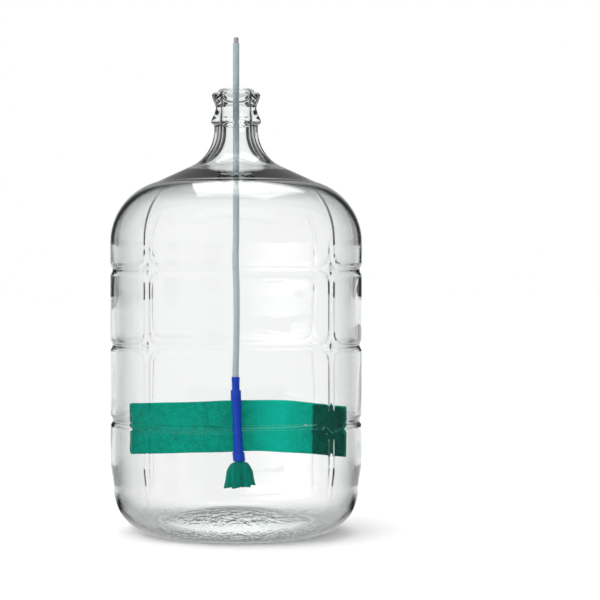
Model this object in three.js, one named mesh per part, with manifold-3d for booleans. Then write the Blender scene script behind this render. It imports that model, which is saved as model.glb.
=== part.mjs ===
// Glass carboy with a drill-driven cleaning wand standing in it.
// Millimetres, +Z up. Origin: the middle of the foot ring, on the surface that the glass stands on.
import * as THREE from 'three';
import { mergeVertices } from 'three/addons/utils/BufferGeometryUtils.js';
import Module from 'manifold-3d';

const wasm = await Module();
wasm.setup();

// ---------- driving dimensions ----------
const GAP = 0.3; // clearance between pieces that touch

// the bottle
const BODY_R = 138; // outside radius of the panelled wall
const BAND_R = 134.2; // the smooth band under the panels
const WALL = 5.2;
const FOOT_INNER_R = 80; // the flat ring that the bottle stands on
const FOOT_OUTER_R = 86;
const HEEL_R = BAND_R - FOOT_OUTER_R; // radius of the rounded heel
const PUSH_UP = 16; // height of the dome under the base
const BASE_THICK = 8;
const PANEL_FOOT = 52; // height of the lower ends of the panels
const GROOVES = [123.8, 205.7, 287.6]; // heights of the level grooves between the rows of panels
const GROOVE_HALF = 4.4;
const GROOVE_DEPTH = 2.6;
const PANEL_HEAD = 378; // height of their upper ends, on the shoulder
const PANEL_COLUMNS = 4;
const PANEL_TURN = 47; // degrees from the front to an upright groove
const SHOULDER_Z = 318; // where the upright wall starts to round over
const SHOULDER_R = 68;
const SHOULDER_SWEEP = 74; // degrees
const NECK_R = 24;
const NECK_Z = 442; // where the neck starts to flare outwards
const FLARE_R = 45;
const FLARE_SWEEP = 66; // degrees
const BORE_R = 15.5;
const LIP_Z = 486; // overall height of the glass
const LIP_R = 19.2;
const FLANGE_R = 26.9;
const RING_R = 27.5; // the lower of the two rings round the mouth
const WAIST_R = 22;
const SIDES = 48; // facets round the bottle

// the wand
const ROD_R = 2.8;
const ROD_TOP = 544;
const SLEEVE_R = 3.5;
const SLEEVE_TOP = 537;
const COUPLING_R = 4.2;
const COUPLING_TOP = 170.4;
const COUPLING_GRIP = 10; // length of the coupling that sits inside the holder tube
const HOLDER_R = 5.6;
const HOLDER_BORE_R = COUPLING_R + GAP;
const HOLDER_TOP = 155.8;
const HOLDER_FOOT = 79.8;
const BOW = 3.2; // how far the foot of the holder tube has bent aside
const BOW_START = 125; // height at which the bend starts
const COLLAR_TOP = 87.4;
const COLLAR_WALL = 0.9;

// the cloth strips and their pads
const STRIP_LEFT = 113; // how far the strips reach to either side of the tube
const STRIP_RIGHT = 117.5;
const STRIP_REACH = 117;
const STRIP_TALL = 27.2;
const STRIP_THICK = 2.6;
const STRIP_CURL = 34; // how far the ends of a strip lie in front of the tube
const STRIP_DROOP = 3.5; // how far its right end hangs down
const STRIPS = [
  { name: 'upper', foot: 116.6, wave: 20 },
  { name: 'lower', foot: 88.9, wave: 17 },
];
const PAD_LONG = 31;
const PAD_THICK = 7;
const PAD_MARGIN = 1; // how much shorter than the strip a pad is, top and bottom

// the tuft under the tube
const TUFT_TOP = 78.6;
const TUFT_FOOT = 54.5;
const TUFT_NECK_R = 8;
const TUFT_MOUTH_R = 17.3;
const TUFT_STEM_R = 3.9;
const TUFT_PLEATS = 6;
const TUFT_LEAN = 2; // degrees

// ---------- materials ----------
const glass = new THREE.MeshStandardMaterial({ color: 0xe6ebec, roughness: 0.05, metalness: 0 });
const steel = new THREE.MeshStandardMaterial({ color: 0xa0a8a4, roughness: 0.35, metalness: 1 });
const sleevePlastic = new THREE.MeshStandardMaterial({ color: 0x7e8d8f, roughness: 0.5, metalness: 0 });
const blueTubing = new THREE.MeshStandardMaterial({ color: 0x1d3fb4, roughness: 0.4, metalness: 0 });
const greenCloth = new THREE.MeshStandardMaterial({ color: 0x0f8a6c, roughness: 0.95, metalness: 0 });
const scouringPad = new THREE.MeshStandardMaterial({ color: 0x0a2f26, roughness: 1, metalness: 0 });

// ---------- helpers ----------
const radians = THREE.MathUtils.degToRad;

// Points [radius, height] on an arc, its angles counted from the outward direction.
function arc(centreR, centreZ, radius, fromDegrees, toDegrees, steps) {
  return Array.from({ length: steps + 1 }, (_, i) => {
    const angle = radians(fromDegrees + ((toDegrees - fromDegrees) * i) / steps);
    return [centreR + radius * Math.cos(angle), centreZ + radius * Math.sin(angle)];
  });
}

// A profile of [radius, height] points, turned about the Z axis.
function turned(profile, sides) {
  const points = profile.map(([r, z]) => new THREE.Vector2(r, z));
  return new THREE.LatheGeometry(points, sides).rotateX(Math.PI / 2);
}

function mesh(name, geometry, material) {
  const piece = new THREE.Mesh(geometry, material);
  piece.name = name;
  return piece;
}

function solid(geometry) {
  const bare = geometry.clone();
  bare.deleteAttribute('normal');
  bare.deleteAttribute('uv');
  const merged = mergeVertices(bare, 1e-4);
  const index = merged.index.array;
  const triVerts = [];
  for (let i = 0; i < index.length; i += 3) {
    const [a, b, c] = [index[i], index[i + 1], index[i + 2]];
    if (a !== b && b !== c && a !== c) {
      triVerts.push(a, b, c);
    }
  }
  return new wasm.Manifold(
    new wasm.Mesh({
      numProp: 3,
      vertProperties: merged.attributes.position.array,
      triVerts: new Uint32Array(triVerts),
    }),
  );
}

function geometryOf(manifold) {
  const cut = manifold.getMesh();
  const geometry = new THREE.BufferGeometry();
  geometry.setAttribute('position', new THREE.BufferAttribute(cut.vertProperties, 3));
  geometry.setIndex(new THREE.BufferAttribute(cut.triVerts, 1));
  geometry.computeVertexNormals();
  return geometry;
}

// A round rod, or a pipe where a bore is given, along the holder tube's own curve.
function alongBow(fromZ, toZ, radius, bore, steps) {
  const section = new THREE.Shape().absarc(0, 0, radius, 0, 2 * Math.PI, false);
  if (bore) {
    section.holes.push(new THREE.Path().absarc(0, 0, bore, 0, 2 * Math.PI, true));
  }
  const points = Array.from({ length: steps + 1 }, (_, i) => {
    const z = fromZ + ((toZ - fromZ) * i) / steps;
    return new THREE.Vector3(bowAt(z), 0, z);
  });
  const extrudePath = new THREE.CatmullRomCurve3(points);
  return new THREE.ExtrudeGeometry(section, { steps, curveSegments: 10, extrudePath });
}

// How far the holder tube has bent towards +X at a height.
function bowAt(z) {
  const share = Math.max(0, (BOW_START - z) / (BOW_START - HOLDER_FOOT));
  return BOW * share ** 2;
}

// ---------- the bottle ----------
function bottleProfile() {
  const dome = (top, rim, rimZ, r) => rimZ + (top - rimZ) * (1 - (r / rim) ** 2);
  const outside = [
    ...[0, 0.35, 0.7].map((share) => {
      const r = share * FOOT_INNER_R;
      return [r, dome(PUSH_UP, FOOT_INNER_R, 0, r)];
    }),
    [FOOT_INNER_R, 0],
    ...arc(FOOT_OUTER_R, HEEL_R, HEEL_R, -90, 0, 7),
    [BAND_R, PANEL_FOOT],
    [BODY_R - 1, PANEL_FOOT + 12],
    [BODY_R, PANEL_FOOT + 28],
    ...GROOVES.flatMap((z) => [
      [BODY_R, z - GROOVE_HALF],
      [BODY_R - GROOVE_DEPTH, z - 1],
      [BODY_R - GROOVE_DEPTH, z + 1],
      [BODY_R, z + GROOVE_HALF],
    ]),
    ...arc(BODY_R - SHOULDER_R, SHOULDER_Z, SHOULDER_R, 0, SHOULDER_SWEEP, 8),
    ...arc(NECK_R + FLARE_R, NECK_Z, FLARE_R, 180 + FLARE_SWEEP, 180, 6),
  ];
  const finish = [
    [NECK_R, 447],
    [RING_R - 0.5, 448.6],
    [RING_R, 450],
    [RING_R - 0.6, 453.5],
    [WAIST_R + 1.5, 460.5],
    [WAIST_R, 466],
    [FLANGE_R - 1.3, 475.4],
    [FLANGE_R, 478.6],
    [FLANGE_R - 0.6, 481],
    [LIP_R + 1, 482],
    [LIP_R, 484.4],
    [LIP_R - 1.2, LIP_Z],
    [BORE_R + 0.6, LIP_Z],
    [BORE_R, LIP_Z - 2],
  ];
  const innerFlare = FLARE_R + NECK_R - BORE_R;
  const innerShoulder = SHOULDER_R - WALL;
  const innerHeel = HEEL_R - 6;
  const floorRim = FOOT_OUTER_R + 3;
  const floorZ = 7;
  const inside = [
    ...arc(NECK_R + FLARE_R, NECK_Z - 2, innerFlare, 180, 180 + FLARE_SWEEP - 6, 5),
    ...arc(BODY_R - SHOULDER_R, SHOULDER_Z, innerShoulder, SHOULDER_SWEEP, 0, 6),
    [BODY_R - WALL, PANEL_FOOT + 24],
    ...arc(floorRim, floorZ + innerHeel, innerHeel, 0, -90, 5),
    ...[0.7, 0.35, 0].map((share) => {
      const r = share * FOOT_INNER_R;
      return [r, dome(PUSH_UP + BASE_THICK, floorRim, floorZ, r)];
    }),
  ];
  return [...outside, ...finish, ...inside];
}

// The upright grooves: where a column of points lies on a groove, its points between the foot of the
// panels and the shoulder are drawn in, apart from those that a level groove already holds in.
function uprightGrooves(geometry, profile) {
  const position = geometry.attributes.position;
  const perColumn = SIDES / PANEL_COLUMNS;
  const first = profile.findIndex(([, z]) => z > PANEL_FOOT);
  const count = profile.slice(first).findIndex(([, z]) => z > PANEL_HEAD);
  for (let side = 0; side <= SIDES; side += perColumn) {
    for (let k = first; k < first + count; k += 1) {
      const i = side * profile.length + k;
      const r = profile[k][0];
      if (r !== BODY_R - GROOVE_DEPTH) {
        const share = (r - GROOVE_DEPTH) / r;
        position.setXY(i, position.getX(i) * share, position.getY(i) * share);
      }
    }
  }
  return geometry.rotateZ(radians(PANEL_TURN));
}

// ---------- the wand ----------
function rod() {
  const foot = HOLDER_TOP - COUPLING_GRIP + 1;
  return turned(
    [
      [0, foot],
      [ROD_R, foot],
      [ROD_R, ROD_TOP - 2],
      [ROD_R - 0.6, ROD_TOP - 0.6],
      [ROD_R - 1.6, ROD_TOP],
      [0, ROD_TOP],
    ],
    20,
  );
}

function straightPipe(fromZ, toZ, outer, inner, sides) {
  return turned(
    [
      [outer, fromZ],
      [outer, toZ],
      [inner, toZ],
      [inner, fromZ],
      [outer, fromZ],
    ],
    sides,
  );
}

// The plan line of a strip: an S that passes through the tube's axis, with both ends curled forwards.
function stripLine(wave) {
  return (x) => {
    const u = x / STRIP_REACH;
    return wave * Math.sin(Math.PI * u) * (1 - Math.abs(u) / 2) - STRIP_CURL * u * u;
  };
}

function droopAt(x) {
  return STRIP_DROOP * Math.max(0, x / STRIP_REACH) ** 2;
}

// A slab that follows a strip's plan line and its droop, between two offsets square to the line.
function wavySlab(line, fromX, toX, fromOffset, toOffset, foot, tall, steps) {
  const xs = Array.from({ length: steps + 1 }, (_, i) => fromX + ((toX - fromX) * i) / steps);
  const edge = (offset) => xs.map((x) => {
    const slope = line(x + 0.5) - line(x - 0.5);
    const long = Math.hypot(1, slope);
    return new THREE.Vector2(x - (offset * slope) / long, line(x) + offset / long);
  });
  const outline = new THREE.Shape([...edge(fromOffset), ...edge(toOffset).reverse()]);
  const slab = new THREE.ExtrudeGeometry(outline, { depth: tall, steps: 1, bevelEnabled: false });
  const position = slab.attributes.position;
  for (let i = 0; i < position.count; i += 1) {
    position.setZ(i, position.getZ(i) + foot - droopAt(position.getX(i)));
  }
  return slab;
}

function stripSlab(strip, spare) {
  const side = STRIP_THICK / 2 + spare;
  const foot = strip.foot - spare;
  const tall = STRIP_TALL + 2 * spare;
  return wavySlab(
    stripLine(strip.wave), -STRIP_LEFT - spare, STRIP_RIGHT + spare, -side, side, foot, tall, 48,
  );
}

// A pad lies against the front face of the strip's right end, or the back face of its left end.
function padSlab(strip, side) {
  const near = STRIP_THICK / 2 + GAP;
  const far = near + PAD_THICK;
  const [fromX, toX] = side === 'right'
    ? [STRIP_RIGHT - PAD_LONG, STRIP_RIGHT]
    : [-STRIP_LEFT, PAD_LONG - STRIP_LEFT];
  const [fromOffset, toOffset] = side === 'right' ? [-far, -near] : [near, far];
  const tall = STRIP_TALL - 2 * PAD_MARGIN;
  return wavySlab(
    stripLine(strip.wave), fromX, toX, fromOffset, toOffset, strip.foot + PAD_MARGIN, tall, 8,
  );
}

function holderTube() {
  const pipe = solid(alongBow(HOLDER_FOOT, HOLDER_TOP, HOLDER_R, HOLDER_BORE_R, 14));
  return geometryOf(
    STRIPS.reduce((tube, strip) => tube.subtract(solid(stripSlab(strip, GAP))), pipe),
  );
}

// The gathered cloth: a stem that the tube grips, flaring into a pleated skirt.
function tuft() {
  const steps = 4;
  const skirt = Array.from({ length: steps + 1 }, (_, i) => {
    const share = i / steps;
    const r = TUFT_NECK_R + (TUFT_MOUTH_R - TUFT_NECK_R) * share ** 0.8;
    return [r, TUFT_TOP - 1.5 + (TUFT_FOOT - TUFT_TOP + 1.5) * share];
  });
  const stemTop = HOLDER_FOOT + 5;
  const profile = [
    [0, TUFT_FOOT + 1],
    ...skirt.reverse(),
    [TUFT_STEM_R, TUFT_TOP],
    [TUFT_STEM_R, stemTop],
    [0, stemTop],
  ];
  const geometry = turned(profile, TUFT_PLEATS * 6).translate(0, 0, -HOLDER_FOOT);
  const position = geometry.attributes.position;
  for (let i = 0; i < position.count; i += 1) {
    const [x, y, z] = [position.getX(i), position.getY(i), position.getZ(i)];
    const depth = Math.max(0, TUFT_TOP - HOLDER_FOOT - 1 - z) / (TUFT_TOP - TUFT_FOOT);
    const pleat = 1 - 0.12 * Math.min(depth * 3, 1) * (1 - Math.cos(TUFT_PLEATS * Math.atan2(y, x)));
    position.setXY(i, x * pleat, y * pleat);
  }
  return geometry;
}

// ---------- assembly ----------
const wall = bottleProfile();
const carboy = new THREE.Group();
carboy.add(mesh('carboy_glass', uprightGrooves(turned(wall, SIDES), wall), glass));

const wand = new THREE.Group();
wand.add(mesh('drive_rod', rod(), steel));
wand.add(
  mesh(
    'shaft_sleeve',
    straightPipe(COUPLING_TOP + GAP, SLEEVE_TOP, SLEEVE_R, ROD_R + GAP, 20),
    sleevePlastic,
  ),
);
wand.add(
  mesh(
    'coupling_tube',
    straightPipe(HOLDER_TOP - COUPLING_GRIP, COUPLING_TOP, COUPLING_R, ROD_R + GAP, 20),
    blueTubing,
  ),
);
wand.add(mesh('holder_tube', holderTube(), blueTubing));
wand.add(
  mesh(
    'end_collar',
    alongBow(HOLDER_FOOT, COLLAR_TOP, HOLDER_R + GAP + COLLAR_WALL, HOLDER_R + GAP, 3),
    blueTubing,
  ),
);
for (const strip of STRIPS) {
  wand.add(mesh(`${strip.name}_strip`, stripSlab(strip, 0), greenCloth));
  for (const side of ['right', 'left']) {
    wand.add(mesh(`${strip.name}_${side}_pad`, padSlab(strip, side), scouringPad));
  }
}
const skirt = mesh('bottom_tuft', tuft(), greenCloth);
skirt.position.set(bowAt(HOLDER_FOOT), 0, HOLDER_FOOT);
skirt.rotation.y = -radians(TUFT_LEAN);
wand.add(skirt);

const group = new THREE.Group();
group.add(carboy, wand);
export default group;
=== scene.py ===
# %% [markdown]
# # A glass carboy with a cleaning wand in it
# The bottle is one piece of pressed and blown glass. Inside it stands a wand that a drill turns: a steel
# rod in a plastic sleeve, two lengths of blue tubing, two cloth strips with scouring pads at their ends,
# and a gathered tuft of cloth that sweeps the floor of the bottle.
#
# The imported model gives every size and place. This script makes a fine surface for each piece, in the
# same frame: Z is up and the bottle stands on Z = 0. Shapes are worked out in millimetres and put into
# the meshes in metres.

import bmesh
import bpy
import numpy as np
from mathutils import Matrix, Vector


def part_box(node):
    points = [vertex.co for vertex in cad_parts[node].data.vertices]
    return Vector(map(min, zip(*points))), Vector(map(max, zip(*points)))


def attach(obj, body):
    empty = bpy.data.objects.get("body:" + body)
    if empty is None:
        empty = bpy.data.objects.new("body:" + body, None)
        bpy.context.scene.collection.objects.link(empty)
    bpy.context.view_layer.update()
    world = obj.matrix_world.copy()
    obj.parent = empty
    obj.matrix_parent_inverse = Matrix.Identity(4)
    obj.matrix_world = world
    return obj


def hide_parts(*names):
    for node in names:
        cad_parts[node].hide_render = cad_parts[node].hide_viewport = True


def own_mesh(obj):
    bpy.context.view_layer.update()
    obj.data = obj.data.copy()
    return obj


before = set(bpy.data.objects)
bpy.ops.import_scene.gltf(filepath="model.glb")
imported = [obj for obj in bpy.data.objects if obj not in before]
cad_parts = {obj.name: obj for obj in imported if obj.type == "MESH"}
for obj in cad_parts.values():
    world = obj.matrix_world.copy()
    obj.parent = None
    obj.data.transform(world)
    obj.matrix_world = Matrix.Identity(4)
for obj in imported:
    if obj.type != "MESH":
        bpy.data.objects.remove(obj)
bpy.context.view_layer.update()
MM = 0.001


def node_heights(name):
    """The lowest and highest points of a node, in millimetres."""
    low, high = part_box(name)
    return low.z / MM, high.z / MM


# %% [markdown]
# ## The camera
# The bottle is seen straight on, by a lens about level with the middle of its wall. A camera that looks
# level keeps upright lines upright, so the framing comes from the lens shift and not from a tilt, and the
# bottle stands left of the middle.

# %% Camera
PICTURE_WIDE = 0.660  # what the frame takes in at the bottle's axis
CAMERA_AWAY = 1.9
CAMERA_HIGH = 0.262
AXIS_FROM_LEFT = 0.3935  # where the bottle's axis falls, as a share of the frame
FOOT_FROM_TOP = 0.8858  # where the bottle's foot falls


def make_camera():
    """A level camera: shift is how far the frame's middle lies from the lens axis, in frame widths."""
    lens = bpy.data.cameras.new("camera")
    lens.sensor_width = 36.0
    lens.lens = lens.sensor_width * CAMERA_AWAY / PICTURE_WIDE
    lens.shift_x = 0.5 - AXIS_FROM_LEFT
    lens.shift_y = FOOT_FROM_TOP - 0.5 - CAMERA_HIGH / PICTURE_WIDE
    camera = bpy.data.objects.new("camera", lens)
    camera.location = (0.0, -CAMERA_AWAY, CAMERA_HIGH)
    camera.rotation_euler = (np.pi / 2, 0.0, 0.0)
    bpy.context.scene.collection.objects.link(camera)
    bpy.context.scene.camera = camera
    return camera


camera = make_camera()
print("lens", round(camera.data.lens, 1))
print("shift", round(camera.data.shift_x, 4), round(camera.data.shift_y, 4))

# %% [markdown]
# ## Helpers for surfaces
# Every new piece is a grid of points worked out in one go with numpy: rows along the piece, columns
# round it. One function says which points make each face, and one puts them into a mesh.


# %% Grid to mesh
def grid_faces(rows, columns, closed_rows=False, closed_columns=True):
    """Each cell's corners: point (i, j) and its neighbours at j + 1 and i + 1, wrapped round if closed."""
    i, j = np.meshgrid(
        np.arange(rows if closed_rows else rows - 1),
        np.arange(columns if closed_columns else columns - 1),
        indexing="ij",
    )
    next_i, next_j = (i + 1) % rows, (j + 1) % columns
    corners = [i * columns + j, i * columns + next_j, next_i * columns + next_j, next_i * columns + j]
    return np.stack(corners, axis=-1).reshape(-1, 4)


def make_mesh(name, points, faces, sharp=None):
    """A mesh object at the origin from points in mm; doubles are merged, which closes poles and ends.
    Edges that turn by more than sharp degrees stay crisp."""
    data = bpy.data.meshes.new(name)
    data.from_pydata((points.reshape(-1, 3) * MM).tolist(), [], faces.tolist())
    work = bmesh.new()
    work.from_mesh(data)
    bmesh.ops.remove_doubles(work, verts=work.verts, dist=1e-7)
    bmesh.ops.dissolve_degenerate(work, edges=work.edges, dist=1e-8)
    bmesh.ops.recalc_face_normals(work, faces=work.faces)
    work.to_mesh(data)
    work.free()
    data.shade_smooth()
    if sharp is not None:
        data.set_sharp_from_angle(angle=np.radians(sharp))
    piece = bpy.data.objects.new(name, data)
    bpy.context.scene.collection.objects.link(piece)
    return piece


# %% Curves and steps
def smoothstep(low, high, x):
    """0 below low, 1 above high, and 3t^2 - 2t^3 between."""
    t = np.clip((x - low) / (high - low), 0.0, 1.0)
    return t * t * (3.0 - 2.0 * t)


def arc(centre_r, centre_z, radius, from_degrees, to_degrees, count):
    """Points (r, z) on a circle, its angles counted from the outward direction."""
    angle = np.radians(np.linspace(from_degrees, to_degrees, count))
    return np.column_stack([centre_r + radius * np.cos(angle), centre_z + radius * np.sin(angle)])


def rounded(corners, radius, step=0.6):
    """A line through corner points whose corners are each a parabola that starts and ends radius away."""
    corners = np.asarray(corners, float)
    found = [corners[:1]]
    for before, corner, after in zip(corners[:-2], corners[1:-1], corners[2:]):
        back, on = before - corner, after - corner
        reach = min(radius, 0.45 * np.linalg.norm(back), 0.45 * np.linalg.norm(on))
        start = corner + back / np.linalg.norm(back) * reach
        end = corner + on / np.linalg.norm(on) * reach
        t = np.linspace(0.0, 1.0, max(3, int(2 * reach / step) + 1))[:, None]
        found.append((1 - t) ** 2 * start + 2 * t * (1 - t) * corner + t**2 * end)
    found.append(corners[-1:])
    return np.vstack(found)


# %% [markdown]
# ## Helpers for materials
# A material is a graph of nodes. One short function adds a node and joins or sets its sockets by name,
# so that a material reads from top to bottom like the steps of a recipe.


# %% Nodes
def node(tree, kind, sockets=None, **settings):
    """A new node; each socket is set to a plain value or joined to another node's output."""
    made = tree.nodes.new(kind)
    for key, value in settings.items():
        setattr(made, key, value)
    for name, value in (sockets or {}).items():
        if isinstance(value, bpy.types.NodeSocket):
            tree.links.new(value, made.inputs[name])
        else:
            made.inputs[name].default_value = value
    return made


def math(tree, operation, *values):
    """A Math node's result."""
    return node(tree, "ShaderNodeMath", dict(enumerate(values)), operation=operation).outputs[0]


def ramp(tree, value, low, high, to_low=0.0, to_high=1.0):
    """A value taken smoothly from to_low at low to to_high at high."""
    sockets = {"Value": value, "From Min": low, "From Max": high, "To Min": to_low, "To Max": to_high}
    return node(tree, "ShaderNodeMapRange", sockets, interpolation_type="SMOOTHSTEP").outputs["Result"]


def blend_colours(tree, share, first, second):
    """A colour between two others."""
    mix = node(tree, "ShaderNodeMix", {"Factor": share}, data_type="RGBA")
    for socket, colour in ((mix.inputs[6], first), (mix.inputs[7], second)):
        if isinstance(colour, bpy.types.NodeSocket):
            tree.links.new(colour, socket)
        else:
            socket.default_value = (*colour, 1.0)
    return mix.outputs[2]


def new_material(name, **plain):
    """A material with its Principled shader, whose plain sockets are set by name."""
    material = bpy.data.materials.new(name)
    material.use_nodes = True
    shader = material.node_tree.nodes["Principled BSDF"]
    for key, value in plain.items():
        shader.inputs[key.replace("_", " ")].default_value = value
    return material, material.node_tree, shader


def new_group(name, inputs, outputs):
    """An empty node group with float, vector or colour sockets, given as {name: (kind, default)}."""
    group = bpy.data.node_groups.new(name, "ShaderNodeTree")
    for label, (kind, default) in inputs.items():
        socket = group.interface.new_socket(label, in_out="INPUT", socket_type=f"NodeSocket{kind}")
        if default is not None:
            socket.default_value = default
    for label, kind in outputs.items():
        group.interface.new_socket(label, in_out="OUTPUT", socket_type=f"NodeSocket{kind}")
    return group, group.nodes.new("NodeGroupInput"), group.nodes.new("NodeGroupOutput")


# %% [markdown]
# ## The bottle
# A bottle's wall has two faces, and what makes it look like glass is how its outer and inner faces bend
# the light between them. So it is made as one closed skin: a line that goes from the middle of the base
# up the outside, over the lip and down the inside to the floor, turned about the axis.

# %% Bottle sizes, in millimetres
LIP_Z = node_heights("carboy_glass")[1]
BODY_R = 138.0
BAND_R = BODY_R - 3.8
WALL = 5.2
FOOT_INNER_R, FOOT_OUTER_R = 80.0, 86.0
HEEL_R = BAND_R - FOOT_OUTER_R
PUSH_UP, BASE_THICK = 16.0, 8.0
PANEL_FOOT = 52.0
GROOVES = (123.8, 205.7, 287.6)
LEVEL_DEPTH, UPRIGHT_DEPTH = 2.3, 0.62
LEVEL_EDGE, UPRIGHT_EDGE = 6.5, 4.0  # how wide each side of a groove is
PANEL_COLUMNS = 4
PANEL_TURN = np.radians(47.0)
PANEL_CORNER = 14.0
SHOULDER_Z, SHOULDER_R, SHOULDER_SWEEP = 318.0, 68.0, 74.0
RELIEF_FADE = (346.0, 374.0)  # the heights between which the panels die away on the shoulder
NECK_R, NECK_Z, FLARE_R, FLARE_SWEEP = 24.0, 442.0, 45.0, 66.0
BORE_R, LIP_R, FLANGE_R, RING_R, WAIST_R = 15.5, 19.2, 26.9, 27.5, 22.0
print("bottle:", round(2 * BODY_R), "mm across,", round(LIP_Z), "mm tall")


# %% Bottle lines
def dome(top, rim_z, rim_r, r):
    """A parabola of revolution: top on the axis, falling as r squared to rim_z at rim_r."""
    return rim_z + (top - rim_z) * (1 - (r / rim_r) ** 2)


def wall_heights(low, high):
    """Heights up the upright wall, a millimetre apart near each level groove and 4 mm apart between."""
    marks = np.array([PANEL_FOOT, *GROOVES])
    fine = np.concatenate([mark + np.arange(-8.0, 9.0) for mark in marks])
    coarse = np.arange(PANEL_FOOT, SHOULDER_Z, 4.0)
    far = coarse[np.abs(coarse[:, None] - marks).min(axis=1) > 9.0]
    heights = np.unique(np.concatenate([fine, far]))
    return heights[(heights > low) & (heights < high)]


def outside_line():
    """The outside from the middle of the base to the root of the mouth."""
    under_r = np.linspace(0.0, FOOT_INNER_R - 2.0, 34)
    under = np.column_stack([under_r, dome(PUSH_UP, 0.0, FOOT_INNER_R, under_r)])
    foot = [[FOOT_INNER_R - 1.0, 0.15], [FOOT_INNER_R + 0.5, 0.0], [FOOT_OUTER_R - 1.0, 0.0]]
    heel = arc(FOOT_OUTER_R, HEEL_R, HEEL_R, -90, 0, 30)
    z = wall_heights(HEEL_R + 0.5, SHOULDER_Z - 1)
    wall = np.column_stack([BAND_R + (BODY_R - BAND_R) * smoothstep(PANEL_FOOT - 6, PANEL_FOOT + 30, z), z])
    shoulder = arc(BODY_R - SHOULDER_R, SHOULDER_Z, SHOULDER_R, 0, SHOULDER_SWEEP, 50)
    flare = arc(NECK_R + FLARE_R, NECK_Z, FLARE_R, 180 + FLARE_SWEEP, 180, 24)
    cone = np.linspace(shoulder[-1], flare[0], 8)[1:-1]
    return np.vstack([under, foot, heel, wall, shoulder, cone, flare])


def mouth_line():
    """The two rings round the mouth, over the lip and just into the bore."""
    corners = [
        [NECK_R, 443.5],
        [NECK_R, 447.0],
        [RING_R, 448.6],
        [RING_R - 0.2, 452.0],
        [WAIST_R + 1.5, 460.5],
        [WAIST_R, 466.0],
        [FLANGE_R - 1.3, 475.4],
        [FLANGE_R, 479.5],
        [FLANGE_R - 1.5, 481.8],
        [LIP_R + 0.6, 482.0],
        [LIP_R, LIP_Z],
        [BORE_R, LIP_Z],
        [BORE_R, LIP_Z - 8.0],
    ]
    return rounded(corners, 1.6)


def inside_line():
    """The inside from the bore down to the middle of the floor."""
    inner_flare = FLARE_R + NECK_R - BORE_R
    inner_shoulder = SHOULDER_R - WALL
    floor_rim, floor_z, inner_heel = FOOT_OUTER_R + 3.0, 7.0, HEEL_R - 6.0
    flare = arc(NECK_R + FLARE_R, NECK_Z - 2, inner_flare, 180, 180 + FLARE_SWEEP - 6, 18)
    shoulder = arc(BODY_R - SHOULDER_R, SHOULDER_Z, inner_shoulder, SHOULDER_SWEEP, 0, 26)
    wall_z = wall_heights(PANEL_FOOT + 24, SHOULDER_Z - 2)[::-1]
    wall = np.column_stack([np.full(len(wall_z), BODY_R - WALL), wall_z])
    heel = arc(floor_rim, floor_z + inner_heel, inner_heel, 0, -90, 22)
    floor_r = np.linspace(floor_rim - 3, 0.0, 24)
    floor = np.column_stack([floor_r, dome(PUSH_UP + BASE_THICK, floor_z, floor_rim, floor_r)])
    return np.vstack([flare, shoulder, wall, heel, floor])


# %% [markdown]
# ### The panels
# The wall is pressed into panels, four round and four high, with soft grooves between. Each panel is a
# rounded rectangle on the wall. The distance from its edge says how far a point dips into a groove, so the
# corners where two grooves meet come out round by themselves.
#
# When the bottle is blown into its mould the inner face follows the outer one, a little more at a wide level
# groove than at a narrow upright one, and it stays a little uneven. Where both faces run side by side the
# view goes straight through, and only the edge of the bottle shows the groove.


# %% Panel relief
def column_angles():
    """Angles round the bottle, close together at each upright groove and wider on the panels."""
    half = np.pi / PANEL_COLUMNS
    share = np.concatenate([np.linspace(0, 0.07, 9), np.linspace(0.07, 1, 27)[1:]])
    one = np.concatenate([-share[::-1] * half, share[1:] * half])[:-1]
    turns = np.arange(PANEL_COLUMNS) * 2 * half
    return (turns[:, None] + one[None, :]).ravel() - np.pi / 2 + PANEL_TURN


def panel_dip(angle, z, r):
    """How far a face dips, in mm: the groove's depth times a smooth step over the distance from a panel's
    edge; and how much of that is a level groove, from 0 to 1."""
    edges = np.array([PANEL_FOOT - 100.0, *GROOVES, SHOULDER_Z + 200.0])
    row = np.clip(np.searchsorted(edges, z) - 1, 0, len(edges) - 2)
    low, high = edges[row], edges[row + 1]
    step = 2 * np.pi / PANEL_COLUMNS
    local = (angle - PANEL_TURN + np.pi / 2 + step / 2) % step - step / 2
    over_u = np.maximum(PANEL_CORNER + 1.5 - r * np.abs(local), 0.0)
    over_v = np.maximum(PANEL_CORNER + 1.5 - np.minimum(z - low, high - z), 0.0)
    distance = np.hypot(over_u, over_v) - PANEL_CORNER
    level = smoothstep(0.2, 0.8, over_v / np.maximum(over_u + over_v, 1e-6))
    depth = UPRIGHT_DEPTH + (LEVEL_DEPTH - UPRIGHT_DEPTH) * level
    fade = smoothstep(PANEL_FOOT - 12, PANEL_FOOT + 4, z) * (1 - smoothstep(*RELIEF_FADE, z))
    edge = UPRIGHT_EDGE + (LEVEL_EDGE - UPRIGHT_EDGE) * level
    return depth * smoothstep(1.2 - edge, 1.2, distance) * fade, level


def unevenness(angle, z):
    """The blown inner face's slow waves, in mm: six sines that run round and up the wall."""
    waves = (
        0.07 * np.sin(3 * angle + z / 47 + 1.0)
        + 0.05 * np.sin(5 * angle - z / 31 + 2.0)
        + 0.045 * np.sin(8 * angle + z / 19 + 0.5)
        + 0.08 * np.sin(13 * angle - z / 23)
        + 0.08 * np.sin(z / 9.5 + 2 * angle)
        + 0.03 * np.sin(z / 5.7 - 3 * angle + 1.0)
    )
    return (waves - 0.5) * smoothstep(70.0, 110.0, z) * (1 - smoothstep(290.0, 325.0, z))


LEVEL_FOLLOW, UPRIGHT_FOLLOW = 0.97, 0.95  # how much of a groove the inner face repeats


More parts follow.
